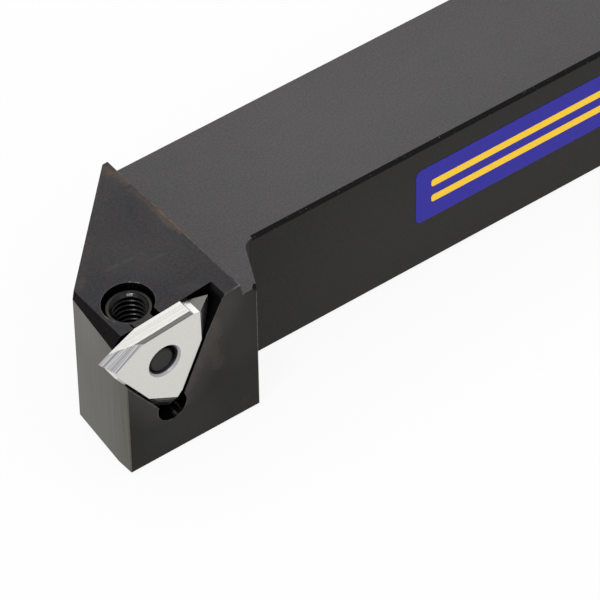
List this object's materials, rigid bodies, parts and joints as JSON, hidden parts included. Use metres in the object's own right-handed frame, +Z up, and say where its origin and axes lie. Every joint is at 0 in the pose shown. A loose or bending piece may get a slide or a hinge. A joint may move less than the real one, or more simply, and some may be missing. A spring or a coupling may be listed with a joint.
{
  "type": "turning tool holder",
  "caption": "Right-hand external turning tool: square shank, offset head, and a triangular ridged-tip insert on edge, drawn into its V seat by a pin and screw.",
  "frame": {"origin": "on the bottom face, on the shank's centre line, where the head meets the shank", "axes": "+X along the shank to its rear end, +Z up, insert and head on the -Y side"},
  "size_m": [0.15, 0.0338, 0.0272],
  "materials": {
    "black_steel": "black oxide on milled and ground steel",
    "carbide": "ground and lapped",
    "dark_steel": "hardened, oiled black"
  },
  "bodies": {
    "holder": {"holder": "black_steel", "insert": "carbide"},
    "clamp_screw": {"clamp_screw": "dark_steel"},
    "draw_pin": {"draw_pin": "dark_steel"}
  },
  "joints": [
    {"name": "screw_turn", "type": "hinge", "parent": "holder", "child": "clamp_screw", "pos_m": [-0.02272, -0.01311, 0.0196], "axis": [0.0872, 0, -0.9962], "range_deg": [0, 216]},
    {"name": "pin_draw", "type": "slide", "parent": "holder", "child": "draw_pin", "axis": [-0.0872, 0, 0.9962], "range_m": [0, 0.0006]}
  ],
  "couplings": [
    {"joint": "screw_turn", "follows": "pin_draw", "rad_per_m": 6283.1}
  ]
}
